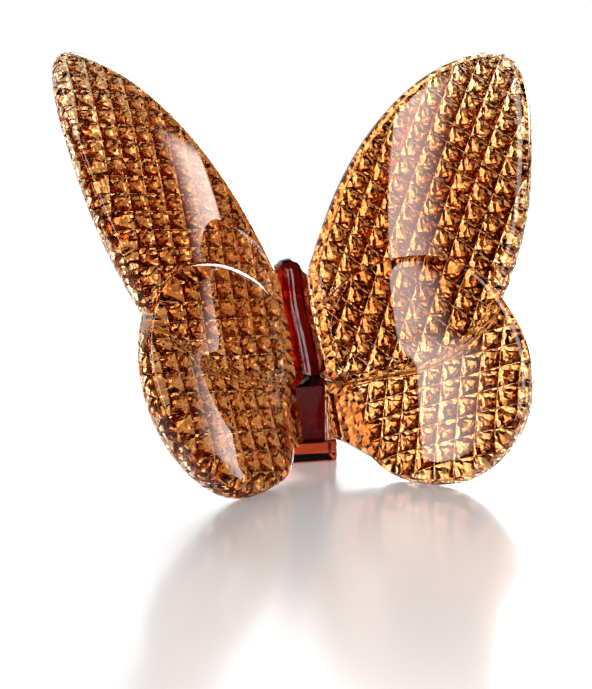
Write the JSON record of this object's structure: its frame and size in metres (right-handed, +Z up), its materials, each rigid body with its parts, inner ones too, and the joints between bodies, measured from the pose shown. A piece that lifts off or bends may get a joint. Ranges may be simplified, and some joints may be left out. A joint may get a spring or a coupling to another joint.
{
  "type": "butterfly ornament",
  "caption": "Free-standing butterfly ornament of clear amber crystal: leaning body on a small foot, domed wings with diamond-cut backs.",
  "frame": {"origin": "middle of the foot's underside, on the table", "axes": "+Z up, -Y towards the front that the wings open to, +X to the viewer's right"},
  "size_m": [0.068, 0.041, 0.057],
  "materials": {
    "wing_crystal": "polished",
    "body_crystal": "polished"
  },
  "bodies": {
    "root": {"body": "body_crystal", "foot": "body_crystal", "left_forewing": "wing_crystal", "right_forewing": "wing_crystal", "left_hindwing": "wing_crystal", "right_hindwing": "wing_crystal"}
  },
  "joints": []
}
